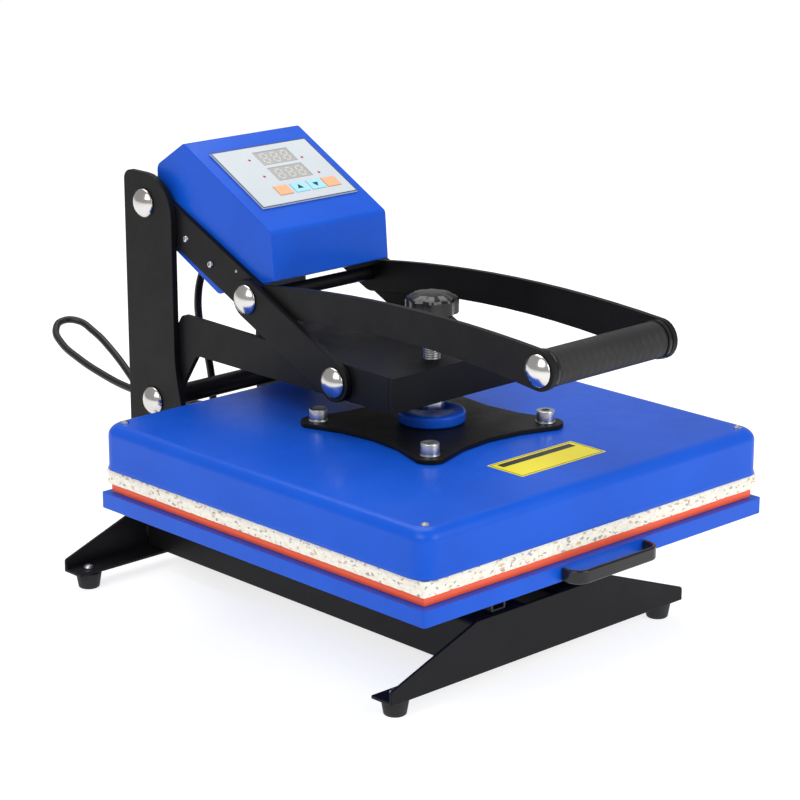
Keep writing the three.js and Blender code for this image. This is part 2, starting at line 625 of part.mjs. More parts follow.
const DISC = { radius: 28.4, edge: 2.5 };
const discFrom = SPIDER_TOP + GAP;
part('pressure_disc', turned([
  [0, discFrom],
  ...arcPoints(DISC.radius - DISC.edge, discFrom + DISC.edge, DISC.edge, -Math.PI / 2, 0, 3),
  ...arcPoints(DISC.radius - DISC.edge, DISC_TOP - DISC.edge, DISC.edge, 0, Math.PI / 2, 3),
  [0, DISC_TOP],
], 28), BLUE, press, [0, SCREW_Y, 0]);

// ---- Pressure screw and knob ----

const KNOB = { bottom: 274.5, top: 292.8, radius: 19, swell: 1.4, lobes: 8, edge: 3 };
const screwFrom = DISC_TOP + GAP;
const screwTop = KNOB.top - 8;
part('pressure_screw', turned([
  [0, screwFrom], [6.5, screwFrom], [6.5, screwFrom + 8], [SCREW_RADIUS, screwFrom + 9],
  [SCREW_RADIUS, screwTop], [0, screwTop],
], 24), STEEL, press, [0, SCREW_Y, 0]);

function knobOutline() {
  const steps = KNOB.lobes * 4;
  const points = Array.from({ length: steps }, (_, i) => {
    const angle = 2 * Math.PI * i / steps;
    const radius = KNOB.radius + KNOB.swell * Math.cos(KNOB.lobes * angle);
    return new THREE.Vector2(radius * Math.cos(angle), radius * Math.sin(angle));
  });
  return new THREE.Shape(points);
}

const knobBlock = new THREE.ExtrudeGeometry(knobOutline(), {
  depth: KNOB.top - KNOB.bottom - 2 * KNOB.edge, bevelThickness: KNOB.edge, bevelSize: KNOB.edge,
  bevelOffset: -0.8, bevelSegments: 2,
}).translate(0, 0, KNOB.bottom + KNOB.edge);
part('pressure_knob', cut(knobBlock, rod(SCREW_RADIUS + GAP, KNOB.bottom - 1, screwTop + GAP)),
  BLACK_PLASTIC, press, [0, SCREW_Y, 0]);

// ---- Lead from the control box, by a clip on the tie plate, to the head ----

const LEAD_RADIUS = 3.5;
const CLIP = { x: 10, y: 251.5, from: 72, to: 84, half: 8 };
const BOX_GLAND = { x: -25, y: 205, length: 24 };
const HEAD_GLAND = { x: -20, z: 150, length: 24 };

part('cable_clip', box(CLIP.x - CLIP.half, CLIP.x + CLIP.half, TIE.to + GAP, CLIP.y + 6,
  CLIP.from, CLIP.to), BLACK_PLASTIC);

// A tapered strain relief along local z, standing on its flange.
function gland(length) {
  return turned([[0, GAP], [8, GAP], [8, 3], [5.6, 3.5], [4.6, length], [0, length]]);
}

const boxGlandZ = BOX.keel.y + rearRise * (BOX_GLAND.y - BOX.keel.x);
const boxGlandTilt = Math.atan(rearRise);
const boxGlandMesh = part('box_gland', gland(BOX_GLAND.length), BLACK_PLASTIC, press,
  [BOX_GLAND.x, BOX_GLAND.y, boxGlandZ]);
boxGlandMesh.rotation.x = Math.PI + boxGlandTilt;
const headGlandMesh = part('head_gland', gland(HEAD_GLAND.length), BLACK_PLASTIC, press,
  [HEAD_GLAND.x, PLATEN_Y + COVER_HALF, HEAD_GLAND.z]);
headGlandMesh.rotation.x = -Math.PI / 2;

function lead(name, route, steps) {
  const section = new THREE.Shape();
  section.absarc(0, 0, LEAD_RADIUS, 0, 2 * Math.PI, false);
  const path = new THREE.CatmullRomCurve3(route.map((point) => new THREE.Vector3(...point)));
  part(name, new THREE.ExtrudeGeometry(section, { extrudePath: path, steps, curveSegments: 4 }), RUBBER);
}

const boxLeadStart = new THREE.Vector3(0, Math.sin(boxGlandTilt), -Math.cos(boxGlandTilt))
  .multiplyScalar(BOX_GLAND.length + GAP).add(boxGlandMesh.position);
lead('control_lead', [
  boxLeadStart.toArray(), [-25, 222.4, 260.5], [-23, 229, 243], [-17, 236, 221], [-8, 241.5, 198],
  [1, 245, 174], [7, 248.5, 150], [CLIP.x, CLIP.y, 124], [CLIP.x, CLIP.y, 100],
  [CLIP.x, CLIP.y, CLIP.to + GAP],
], 13);
const headLeadStart = PLATEN_Y + COVER_HALF + HEAD_GLAND.length + GAP;
lead('head_lead', [
  [HEAD_GLAND.x, headLeadStart, HEAD_GLAND.z], [-20, 182, 149.8], [-20, 204, 145.5], [-20, 228, 141],
  [-20, 262, 137], [-20, 300, 134], [-20, 341, 134], [-20, 380, 139], [-20, 416, 147],
  [-16, 448, 155], [-5, 472, 162.5], [9, 480, 167], [21, 473, 166.5], [25, 452, 159], [24, 424, 147],
  [22, 392, 128], [19, 362, 106], [16, 334, 80], [14, 313, 54], [12, 296, 38], [11, 280, 32],
  [10.3, 265, 36], [CLIP.x, 255.5, 46], [CLIP.x, CLIP.y, 59], [CLIP.x, CLIP.y, CLIP.from - GAP],
], 44);

export default press;
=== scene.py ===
# %% [markdown]
# # A clamshell heat press, dressed over its measured frame
# The frame holds every solid of the machine at its true size, hung on the bodies that move. This
# script gives those solids their finished surfaces.

# %% Load the frame
import json
from math import atan2, cos, pi, radians, sin, sqrt

import bmesh
import bpy
from mathutils import Matrix, Vector, noise


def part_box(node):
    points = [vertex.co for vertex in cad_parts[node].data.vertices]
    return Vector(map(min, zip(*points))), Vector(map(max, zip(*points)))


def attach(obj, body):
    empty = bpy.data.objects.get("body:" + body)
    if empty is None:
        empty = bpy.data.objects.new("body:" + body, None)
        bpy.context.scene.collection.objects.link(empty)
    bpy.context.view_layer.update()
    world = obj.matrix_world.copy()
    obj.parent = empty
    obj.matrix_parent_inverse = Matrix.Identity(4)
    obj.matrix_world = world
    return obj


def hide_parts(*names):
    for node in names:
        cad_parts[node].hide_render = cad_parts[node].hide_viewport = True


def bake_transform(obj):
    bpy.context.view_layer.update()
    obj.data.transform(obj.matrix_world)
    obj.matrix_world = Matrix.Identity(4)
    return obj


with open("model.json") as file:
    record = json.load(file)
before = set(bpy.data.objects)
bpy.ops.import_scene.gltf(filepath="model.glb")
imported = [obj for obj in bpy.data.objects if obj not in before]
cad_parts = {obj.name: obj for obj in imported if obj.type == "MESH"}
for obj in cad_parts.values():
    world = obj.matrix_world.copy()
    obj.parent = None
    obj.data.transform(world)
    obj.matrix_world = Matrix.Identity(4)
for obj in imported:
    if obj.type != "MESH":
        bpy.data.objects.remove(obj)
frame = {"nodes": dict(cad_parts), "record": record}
NODES = frame["nodes"]
BODY_OF = {node: body for body, nodes in frame["record"]["behaviour"]["bodies"].items()
           for node in nodes}
SLOT_OF = {entry["node"]: entry["material_slot"] for entry in frame["record"]["subparts"]}
MM = 0.001


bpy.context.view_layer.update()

# %% [markdown]
# The machine is seen from its front left corner, a little above the platen. A long lens from two
# and a half metres keeps the edges of the platen nearly parallel, as in a catalogue picture. The
# camera looks along a direction, so its turn is worked out from that direction and the vertical.

# %% Camera
EYE = Vector((-1.4592, -1.5496, 0.8085))
GAZE = Vector((0.66043, 0.69702, -0.27929))
camera = bpy.data.objects.new("camera", bpy.data.cameras.new("camera"))
camera.data.lens = 117.88
camera.data.sensor_width = 36
camera.location = EYE
camera.rotation_euler = GAZE.to_track_quat("-Z", "Y").to_euler()
bpy.context.scene.collection.objects.link(camera)
bpy.context.scene.camera = camera
print("camera distance to the middle", round(EYE.length, 3))

# %% [markdown]
# Most finishes share three ways in which a real surface isn't perfect: its colour drifts a little,
# its gloss is uneven, and it has a fine relief. One node group makes all three from noise on the
# piece's own coordinates, and each material sets how much of each it has.

# %% Shared surface variation
def node_at(tree, kind, **values):
    node = tree.nodes.new(kind)
    for name, value in values.items():
        setattr(node, name, value)
    return node


def socket(group, name, direction, kind, default=None):
    made = group.interface.new_socket(name=name, in_out=direction, socket_type=kind)
    if default is not None:
        made.default_value = default
    return made


def noise_node(tree, vector, scale, detail=4, rough=0.55):
    node = node_at(tree, "ShaderNodeTexNoise")
    node.inputs["Scale"].default_value = scale
    node.inputs["Detail"].default_value = detail
    node.inputs["Roughness"].default_value = rough
    tree.links.new(vector, node.inputs["Vector"])
    return node


def mapped(tree, value, from_low, from_high, to_low, to_high):
    node = node_at(tree, "ShaderNodeMapRange")
    for name, number in (("From Min", from_low), ("From Max", from_high),
                         ("To Min", to_low), ("To Max", to_high)):
        node.inputs[name].default_value = number
    tree.links.new(value, node.inputs["Value"])
    return node.outputs["Result"]


def make_variation_group():
    group = bpy.data.node_groups.new("surface_variation", "ShaderNodeTree")
    for name, kind, default in (("Vector", "NodeSocketVector", None),
                                ("Colour", "NodeSocketColor", (0.5, 0.5, 0.5, 1)),
                                ("Second colour", "NodeSocketColor", (0.5, 0.5, 0.5, 1)),
                                ("Roughness", "NodeSocketFloat", 0.4),
                                ("Uneven gloss", "NodeSocketFloat", 0.1),
                                ("Relief scale", "NodeSocketFloat", 900.0)):
        socket(group, name, "INPUT", kind, default)
    for name, kind in (("Colour", "NodeSocketColor"), ("Roughness", "NodeSocketFloat"),
                       ("Height", "NodeSocketFloat")):
        socket(group, name, "OUTPUT", kind)
    inside = node_at(group, "NodeGroupInput")
    outside = node_at(group, "NodeGroupOutput")
    broad = noise_node(group, inside.outputs["Vector"], 14, 5)
    smear = noise_node(group, inside.outputs["Vector"], 45, 6, 0.65)
    fine = noise_node(group, inside.outputs["Vector"], 900, 2)
    group.links.new(inside.outputs["Relief scale"], fine.inputs["Scale"])
    drift = mapped(group, broad.outputs["Fac"], 0.3, 0.7, 0, 1)
    mix = node_at(group, "ShaderNodeMix", data_type="RGBA")
    group.links.new(drift, mix.inputs["Factor"])
    group.links.new(inside.outputs["Colour"], mix.inputs["A"])
    group.links.new(inside.outputs["Second colour"], mix.inputs["B"])
    group.links.new(mix.outputs["Result"], outside.inputs["Colour"])
    spread = node_at(group, "ShaderNodeMath", operation="MULTIPLY_ADD")
    group.links.new(mapped(group, smear.outputs["Fac"], 0.3, 0.7, -0.5, 0.5), spread.inputs[0])
    group.links.new(inside.outputs["Uneven gloss"], spread.inputs[1])
    group.links.new(inside.outputs["Roughness"], spread.inputs[2])
    group.links.new(spread.outputs[0], outside.inputs["Roughness"])
    group.links.new(fine.outputs["Fac"], outside.inputs["Height"])
    return group


VARIATION = make_variation_group()
print("group sockets", [item.name for item in VARIATION.interface.items_tree])

# %% [markdown]
# A material is a Principled shader fed by that group. The numbers that are the same all over, such
# as the clear coat of a powder paint, are set on the shader itself.

# %% Material maker
def make_material(name, colour, second=None, rough=0.4, uneven=0.1, metal=0.0, relief=900,
                  bump=0.1, depth=0.0002, **constants):
    material = bpy.data.materials.new(name)
    material.use_nodes = True
    tree = material.node_tree
    shader = tree.nodes["Principled BSDF"]
    place = node_at(tree, "ShaderNodeTexCoord")
    vary = node_at(tree, "ShaderNodeGroup", node_tree=VARIATION)
    vary.inputs["Colour"].default_value = (*colour, 1)
    vary.inputs["Second colour"].default_value = (*(second or [0.86 * c for c in colour]), 1)
    vary.inputs["Roughness"].default_value = rough
    vary.inputs["Uneven gloss"].default_value = uneven
    vary.inputs["Relief scale"].default_value = relief
    tree.links.new(place.outputs["Object"], vary.inputs["Vector"])
    tree.links.new(vary.outputs["Colour"], shader.inputs["Base Color"])
    tree.links.new(vary.outputs["Roughness"], shader.inputs["Roughness"])
    raised = node_at(tree, "ShaderNodeBump")
    raised.inputs["Strength"].default_value = bump
    raised.inputs["Distance"].default_value = depth
    tree.links.new(vary.outputs["Height"], raised.inputs["Height"])
    tree.links.new(raised.outputs["Normal"], shader.inputs["Normal"])
    shader.inputs["Metallic"].default_value = metal
    for socket_name, value in constants.items():
        shader.inputs[socket_name.replace("_", " ")].default_value = value
    return material


# %% [markdown]
# The sheet metal has two powder coats: a saturated blue with a fine pebbled skin, and a satin
# black. Powder paint flows out as it melts, so it keeps a faint orange peel under a glossy skin.

# %% Paints
PAINT_BLUE = make_material("powder_coat_blue", (0.005, 0.09, 0.6), (0.004, 0.076, 0.53),
                           rough=0.34, uneven=0.08, relief=520, bump=0.35, depth=0.0004,
                           Specular_IOR_Level=0.17, Coat_Weight=0.05, Coat_Roughness=0.1)
PAINT_BLACK = make_material("powder_coat_black", (0.007, 0.007, 0.008), (0.005, 0.005, 0.0055),
                            rough=0.44, uneven=0.12, relief=700, bump=0.3, depth=0.0003,
                            Specular_IOR_Level=0.15)
print("paints", PAINT_BLUE.name, PAINT_BLACK.name)

# %% [markdown]
# Bare metals differ mostly in gloss. Chrome is nearly a mirror, zinc is cloudy, turned steel is
# duller, and cast aluminium is pale and matt. The drawer's runners get a near-black steel, which is
# painted shade for their place under the lower platen.

# %% Metals
CHROME = make_material("chrome_plate", (0.74, 0.72, 0.7), (0.6, 0.58, 0.56), rough=0.19,
                       uneven=0.1, metal=1.0, relief=300, bump=0.02)
ZINC = make_material("zinc_plate", (0.62, 0.63, 0.65), (0.5, 0.51, 0.53), rough=0.3, uneven=0.2,
                     metal=1.0, relief=1500, bump=0.08)
STEEL = make_material("turned_steel", (0.55, 0.55, 0.56), (0.44, 0.44, 0.45), rough=0.28,
                      uneven=0.15, metal=1.0, relief=1800, bump=0.1)
# Near-black steel: painted shade for the runners and sliders under the lower platen.
STEEL_PAINTED_SHADE = make_material("steel_painted_shade", (0.07, 0.07, 0.075), (0.05, 0.05, 0.055), rough=0.42,
                           uneven=0.15, metal=0.7, relief=1200, bump=0.1)
ALUMINIUM = make_material("cast_aluminium", (0.6, 0.6, 0.61), (0.5, 0.5, 0.52), rough=0.5,
                          uneven=0.15, metal=1.0, relief=900, bump=0.3)
print("metals", CHROME.name, ZINC.name, STEEL.name, ALUMINIUM.name)

# %% [markdown]
# Rubber is matt and slightly grey where it has been handled. The knob, handle and glands are
# moulded in a hard plastic that is glossier.

# %% Rubbers and plastics
RUBBER = make_material("black_rubber", (0.01, 0.01, 0.011), (0.017, 0.017, 0.018), rough=0.6,
                       uneven=0.15, relief=1400, bump=0.35, depth=0.0003, Specular_IOR_Level=0.35)
CABLE_SKIN = make_material("cable_skin", (0.007, 0.007, 0.008), (0.012, 0.012, 0.013), rough=0.4,
                           uneven=0.1, relief=1100, bump=0.12, Specular_IOR_Level=0.35)
PLASTIC = make_material("black_plastic", (0.006, 0.006, 0.007), (0.01, 0.01, 0.011), rough=0.2,
                        uneven=0.08, relief=800, bump=0.05, Specular_IOR_Level=0.4)
SILICONE = make_material("orange_silicone", (0.95, 0.125, 0.04), (0.88, 0.105, 0.035), rough=0.5,
                         uneven=0.12, relief=2200, bump=0.25)
FILM = make_material("panel_film", (0.56, 0.6, 0.63), (0.52, 0.56, 0.6), rough=0.4, uneven=0.08,
                     relief=2600, bump=0.06, Specular_IOR_Level=0.3)
KEY_BLUE = make_material("key_film_blue", (0.34, 0.7, 0.88), (0.31, 0.66, 0.84), rough=0.4,
                         uneven=0.06, relief=2600, bump=0.06, Specular_IOR_Level=0.3)
KEY_ORANGE = make_material("key_film_orange", (0.78, 0.43, 0.24), (0.74, 0.4, 0.22), rough=0.4,
                           uneven=0.06, relief=2600, bump=0.06, Specular_IOR_Level=0.3)
INK_NAVY = make_material("printed_navy", (0.03, 0.045, 0.12), rough=0.4, relief=2600, bump=0.04)
INK_BLACK = make_material("printed_black", (0.012, 0.012, 0.014), rough=0.4, relief=2600, bump=0.04)
DISPLAY = make_material("display_window", (0.4, 0.4, 0.39), (0.37, 0.37, 0.36), rough=0.25,
                        uneven=0.05, relief=2000, bump=0.03, Specular_IOR_Level=0.3)
SEGMENT = make_material("unlit_segments", (0.56, 0.55, 0.52), (0.52, 0.51, 0.48), rough=0.35,
                        relief=2000, bump=0.03, Specular_IOR_Level=0.3)
LABEL = make_material("label_yellow", (0.86, 0.74, 0.02), (0.82, 0.69, 0.015), rough=0.3,
                      uneven=0.08, relief=1800, bump=0.05)
LAMP_RED = make_material("unlit_lamp", (0.5, 0.03, 0.02), (0.4, 0.02, 0.015), rough=0.2,
                         relief=1200, bump=0.03)
BOARD = make_material("insulating_board", (0.7, 0.64, 0.5), (0.58, 0.52, 0.4), rough=0.9,
                      uneven=0.1, relief=500, bump=0.6, depth=0.0008)
print("materials", len(bpy.data.materials))

# %% [markdown]
# The felt is pressed from clean offcuts. It is cream, with flecks of grey, yellow and pink a few
# millimetres long, and its cut edge is hairy. Cells of a Voronoi pattern give each fleck its own
# random colour, and a ramp decides which few of them show.

# %% Felt
def make_felt():
    material = make_material("pressed_felt", (0.86, 0.82, 0.7), (0.78, 0.73, 0.6), rough=0.95,
                             uneven=0.05, relief=420, bump=0.9, depth=0.0012)
    tree = material.node_tree
    shader = tree.nodes["Principled BSDF"]
    shader.inputs["Sheen Weight"].default_value = 0.1
    place = next(node for node in tree.nodes if node.type == "TEX_COORD")
    vary = next(node for node in tree.nodes if node.type == "GROUP")
    stretch = node_at(tree, "ShaderNodeMapping")
    stretch.inputs["Scale"].default_value = (1, 1, 1.7)
    tree.links.new(place.outputs["Object"], stretch.inputs["Vector"])
    warp = noise_node(tree, stretch.outputs["Vector"], 160, 3)
    bend = node_at(tree, "ShaderNodeMix", data_type="RGBA", blend_type="ADD")
    bend.inputs["Factor"].default_value = 0.006
    tree.links.new(stretch.outputs["Vector"], bend.inputs["A"])
    tree.links.new(warp.outputs["Color"], bend.inputs["B"])
    cells = node_at(tree, "ShaderNodeTexVoronoi")
    cells.inputs["Scale"].default_value = 330
    tree.links.new(bend.outputs["Result"], cells.inputs["Vector"])
    split = node_at(tree, "ShaderNodeSeparateColor")
    tree.links.new(cells.outputs["Color"], split.inputs["Color"])
    chosen = node_at(tree, "ShaderNodeValToRGB")
    chosen.color_ramp.interpolation = "CONSTANT"
    stops = chosen.color_ramp.elements
    stops[0].position, stops[0].color = 0.0, (0.2, 0.21, 0.24, 1)
    stops[1].position, stops[1].color = 0.06, (0.55, 0.4, 0.13, 1)
    for position, colour in ((0.09, (0.62, 0.34, 0.3, 1)), (0.12, (0.9, 0.88, 0.8, 1)),
                             (0.6, (0.82, 0.78, 0.67, 1))):
        stops.new(position).color = colour
    tree.links.new(split.outputs["Red"], chosen.inputs["Fac"])
    mix = node_at(tree, "ShaderNodeMix", data_type="RGBA")
    mix.inputs["Factor"].default_value = 0.7
    tree.links.new(vary.outputs["Colour"], mix.inputs["A"])
    tree.links.new(chosen.outputs["Color"], mix.inputs["B"])
    tree.links.new(mix.outputs["Result"], shader.inputs["Base Color"])
    return material


FELT = make_felt()
MATERIAL_OF = {
    "blue_paint": PAINT_BLUE, "black_paint": PAINT_BLACK, "chrome": CHROME, "plain_steel": STEEL,
    "cast_aluminium": ALUMINIUM, "rubber_black": RUBBER, "orange_silicone": SILICONE,
    "wool_felt": FELT, "glass_wool": BOARD, "black_plastic": PLASTIC, "panel_film": FILM,
    "key_blue": KEY_BLUE, "key_orange": KEY_ORANGE,
}
for node, obj in NODES.items():
    obj.data.materials.clear()
    obj.data.materials.append(MATERIAL_OF[SLOT_OF[node]])
print("finishes given to", len(NODES), "solids")

# %% [markdown]
# Every new piece is made in a bmesh, put in its place there, and then becomes an object at the
# origin that rides on a body of the machine. One helper does the last step for all of them.

# %% Piece maker
def put(name, bm, body, material, slot, *stands_for, crease=35):
    mesh = bpy.data.meshes.new(name)
    bm.normal_update()
    bm.to_mesh(mesh)
    bm.free()
    mesh.materials.append(material)
    mesh.shade_smooth()
    mesh.set_sharp_from_angle(angle=radians(crease))
    piece = bpy.data.objects.new(name, mesh)
    bpy.context.scene.collection.objects.link(piece)
    if body:
        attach(piece, body)
    if stands_for:
        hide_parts(*stands_for)
    return piece


def moved(bm, matrix):
    bmesh.ops.transform(bm, matrix=matrix, verts=bm.verts)
    return bm


def at(x, y, z):
    return Matrix.Translation((x, y, z))


def joined(*parts):
    """One bmesh out of several."""
    whole = bmesh.new()
    for part in parts:
        mesh = bpy.data.meshes.new("part")
        part.to_mesh(mesh)
        part.free()
        whole.from_mesh(mesh)
        bpy.data.meshes.remove(mesh)
    return whole


# %% [markdown]
# The cord comes first, because its reach decides how the machine is stored. It is one round lead
# from the control box to the heated head, held by a clip at the back. Above the clip it hangs
# between the uprights. Beyond the clip a stiff loop stands out behind the press, and gives the lead
# the length that it needs when the head swings up.

# %% Leads
LEAD_RADIUS = 3.5 * MM
BOX_ROUTE = [
    (-25, 216.0, 273.0), (-25, 222.4, 260.5), (-23, 229, 243), (-17, 236, 221), (-8, 241.5, 198),
    (1, 245, 174), (7, 248.5, 150), (10, 251.5, 124), (10, 251.5, 100), (10, 251.5, 84.3),
]
HEAD_ROUTE = [
    (-20, 174.3, 150), (-20, 184, 149.8), (-20, 204, 145.5), (-20, 228, 141), (-20, 262, 137),
    (-20, 300, 134), (-20, 341, 134), (-20, 380, 139), (-20, 416, 147), (-16, 448, 155),
    (-5, 472, 162.5), (9, 480, 167), (21, 473, 166.5), (25, 452, 159), (24, 424, 147),
    (22, 392, 128), (19, 362, 106), (16, 334, 80), (14, 313, 54), (12, 296, 38), (11, 280, 32),
    (10.3, 265, 36), (10, 255.5, 46), (10, 251.5, 59), (10, 251.5, 71.7),
]


def lead(name, route):
    curve = bpy.data.curves.new(name, "CURVE")
    curve.dimensions = "3D"
    curve.bevel_depth = LEAD_RADIUS
    curve.bevel_resolution = 4
    curve.resolution_u = 10
    curve.use_fill_caps = True
    spline = curve.splines.new("BEZIER")
    spline.bezier_points.add(len(route) - 1)
    for point, place in zip(spline.bezier_points, route):
        point.co = Vector(place) * MM
        point.handle_left_type = point.handle_right_type = "AUTO"
    drawn = bpy.data.objects.new(name + "_curve", curve)
    bpy.context.scene.collection.objects.link(drawn)
    bpy.context.view_layer.update()
    shape = bpy.data.meshes.new_from_object(drawn)
    curve.bevel_depth = 0
    bpy.context.view_layer.update()
    line = [v.co.copy() for v in bpy.data.meshes.new_from_object(drawn).vertices]
    bpy.data.objects.remove(drawn)
    bm = bmesh.new()
    bm.from_mesh(shape)
    bmesh.ops.remove_doubles(bm, verts=bm.verts, dist=1e-6)
    bmesh.ops.recalc_face_normals(bm, faces=bm.faces)
    piece = put(name, bm, None, CABLE_SKIN, "rubber_black", name.replace("_skin", ""), crease=60)
    return piece


control_lead = lead("control_lead_skin", BOX_ROUTE)
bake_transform(control_lead)
head_lead = lead("head_lead_skin", HEAD_ROUTE)
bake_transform(head_lead)

# %% [markdown]
# Folded and cut sheet metal never has a knife edge: each edge is broken before painting, and the
# paint rounds it further. A copy of each solid has its triangles merged back into flat faces, and
# a Bevel modifier breaks its edges. The radius depends on how the piece was made.

# %% Sheet metal and other plain solids
def rounded_copy(node, radius, segments=2, crease=31):
    bm = bmesh.new()
    bm.from_mesh(NODES[node].data)
    bmesh.ops.remove_doubles(bm, verts=bm.verts, dist=2e-6)
    bmesh.ops.dissolve_limit(bm, angle_limit=radians(0.6), verts=bm.verts, edges=bm.edges)
    slot = SLOT_OF[node]
    piece = put(node + "_finished", bm, BODY_OF[node], MATERIAL_OF[slot], slot, node, crease=crease)
    broken = piece.modifiers.new("broken_edges", "BEVEL")
    broken.width = radius
    broken.segments = segments
    broken.limit_method = "ANGLE"
    broken.angle_limit = radians(crease)
    broken.harden_normals = True
    return piece


EDGE_RADIUS = {
    0.0008: ["front_leg", "rear_leg", "left_upright", "right_upright", "rear_tie_plate",
             "left_lever_plate", "right_lever_plate", "left_link", "right_link",
             "left_arm_plate", "right_arm_plate", "arm_block", "spider_plate"],
    0.0012: ["left_rail", "right_rail", "lower_platen"],
    0.0018: ["control_box"],
    0.0005: ["left_runner", "right_runner", "left_slider", "right_slider", "control_box_base",
             "heat_platen", "insulation"],
    0.0016: ["drawer_handle"],
    0.0003: ["control_panel", "set_key", "down_key", "up_key", "start_key", "mains_inlet",
             "control_board"],
    0.001: ["cable_clip", "power_switch"],
}
finished = {node: rounded_copy(node, radius) for radius, nodes in EDGE_RADIUS.items()
            for node in nodes}
finished["drawer_handle"].modifiers["broken_edges"].segments = 4
# The runners and sliders take the near-black steel: painted shade for their place under the lower
# platen.
for node in ("left_runner", "right_runner", "left_slider", "right_slider"):
    finished[node].data.materials[0] = STEEL_PAINTED_SHADE
print("solids with broken edges", len(finished))

# %% [markdown]
# The head's cover is a deep drawn tray turned upside down. Its top edge and corners are fuller than
# any other bend on the machine, so a closely stepped copy shows better: a smooth square ring is
# extruded in small steps round the edge, and a wall of sheet thickness is given to it.

# %% Head cover
def rounded_square(bm, half, corner, z, steps=8):
    """A loop of vertices round a square with round corners."""
    ring = []
    for quarter in range(4):
        turn = Matrix.Rotation(quarter * pi / 2, 4, "Z")
        for step in range(steps + 1):
            angle = step * pi / 2 / steps
            centre = half - corner
            here = Vector((centre + corner * cos(angle), centre + corner * sin(angle), z))
            ring.append(bm.verts.new(turn @ here))
    edges = [bm.edges.new((a, b)) for a, b in zip(ring, ring[1:] + ring[:1])]
    return ring, edges


def drawn_tray(half, corner, edge, low, high, steps=7):
    """The outer skin of an upturned tray, from its rim up over the rounded edge to its top."""
    bm = bmesh.new()
    loops = [rounded_square(bm, half + 0.8 * MM, corner, low)[1],
             rounded_square(bm, half, corner, low + 3 * MM)[1]]
    for step in range(steps + 1):
        angle = step * pi / 2 / steps
        inset = edge * (1 - cos(angle))
        loops.append(rounded_square(bm, half - inset, corner - 0.5 * inset,
                                    high - edge + edge * sin(angle))[1])
    for lower, upper in zip(loops, loops[1:]):
        bmesh.ops.bridge_loops(bm, edges=lower + upper)
    bmesh.ops.contextual_create(bm, geom=loops[-1])
    bmesh.ops.recalc_face_normals(bm, faces=bm.faces)
    return bm


cover_low, cover_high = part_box("head_cover")
cover_half = (cover_high.x - cover_low.x) / 2
platen_y = (cover_high.y + cover_low.y) / 2
COVER_CORNER, COVER_EDGE, RIM_FLARE = 16 * MM, 10 * MM, 0.8 * MM
bm = drawn_tray(cover_half - RIM_FLARE, COVER_CORNER, COVER_EDGE, cover_low.z + RIM_FLARE,
                cover_high.z)
cover = put("head_cover_shell", moved(bm, at(0, platen_y, 0)), "head", PAINT_BLUE, "blue_paint",
            "head_cover", crease=40)
wall = cover.modifiers.new("sheet_wall", "SOLIDIFY")
wall.thickness = 2 * MM
wall.offset = -1
print("cover faces", len(cover.data.polygons), "centre y", round(platen_y, 4))

# %% [markdown]
# Anything round is a profile spun about an axis, as it was turned on a lathe. The profile is a
# short list of radius and height, in millimetres, and the result is tipped to lie along X or Y.

# %% Lathe helper
ALONG_X = Matrix.Rotation(pi / 2, 4, "Y")
ALONG_Y = Matrix.Rotation(-pi / 2, 4, "X")


def turned(profile, steps=48):
    bm = bmesh.new()
    verts = [bm.verts.new((r * MM, 0, z * MM)) for r, z in profile]
    edges = [bm.edges.new(pair) for pair in zip(verts, verts[1:])]
    bmesh.ops.spin(bm, geom=verts + edges, axis=(0, 0, 1), cent=(0, 0, 0), steps=steps,
                   angle=2 * pi, use_merge=True)
    bmesh.ops.remove_doubles(bm, verts=bm.verts, dist=1e-7)
    bmesh.ops.recalc_face_normals(bm, faces=bm.faces)
    return bm


def arc(radius, centre_r, centre_z, start, stop, steps=5):
    """Profile points on an arc, with its angles in degrees."""
    angles = [radians(start + (stop - start) * i / steps) for i in range(steps + 1)]
    return [(centre_r + radius * cos(a), centre_z + radius * sin(a)) for a in angles]


def middle(node):
    low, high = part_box(node)
    return (low + high) / 2


print("lathe test faces", len(turned([(0, 0), (5, 0), (5, 4), (0, 4)]).faces))

# %% [markdown]
# Each pivot ends in a chromed dome, which is what the eye catches first on this machine. A dome is
# a shallow part of a sphere on a short straight rim. The rods between them are painted black where
# they cross the open space.

# %% Pivot domes
DOME_RADIUS, DOME_HEIGHT, DOME_RIM = 13.2, 6.5, 1.0


def dome_profile(face):
    sphere = (DOME_RADIUS ** 2 + DOME_HEIGHT ** 2) / (2 * DOME_HEIGHT)
    rim_angle = 90 - 180 / pi * atan2(DOME_RADIUS, sphere - DOME_HEIGHT)
    tip = face + DOME_RIM + DOME_HEIGHT
    crown = arc(sphere, 0, tip - sphere, rim_angle, 90, 9)
    return [(6, face), (DOME_RADIUS - 0.3, face), (DOME_RADIUS, face + 0.3), *crown[:-1], (0, tip)]


def dome_pin(name, body, sign, inner, outer, y, z, *stands_for):
    bm = turned([(0, inner), (6, inner), *dome_profile(outer + 0.3)])
    bm = moved(bm, Matrix.Translation((0, y, z)) @ Matrix.Rotation(sign * pi / 2, 4, "Y"))
    return put(name, bm, body, CHROME, "chrome", *stands_for, crease=45)


for side, sign in (("left", -1), ("right", 1)):
    pivot = middle(f"{side}_lever_pivot_pin")
    dome_pin(f"{side}_lever_pivot_dome", "base", sign, 66, 77.3, pivot.y, pivot.z,
             f"{side}_lever_pivot_pin")
    pivot = middle(f"{side}_arm_link_pin")
    dome_pin(f"{side}_arm_link_dome", "links", sign, 71.5, 77.3, pivot.y, pivot.z,
             f"{side}_arm_link_pin")
    for rod, body, inner, outer in (("arm_pivot_rod", "base", 60, 77.3),
                                    ("lever_link_rod", "lever", 64, 77.3),
                                    ("grip_bar", "lever", 66.2, 71)):
        pivot = middle(rod)
        dome_pin(f"{side}_{rod}_dome", body, sign, inner, outer, pivot.y, pivot.z, rod)

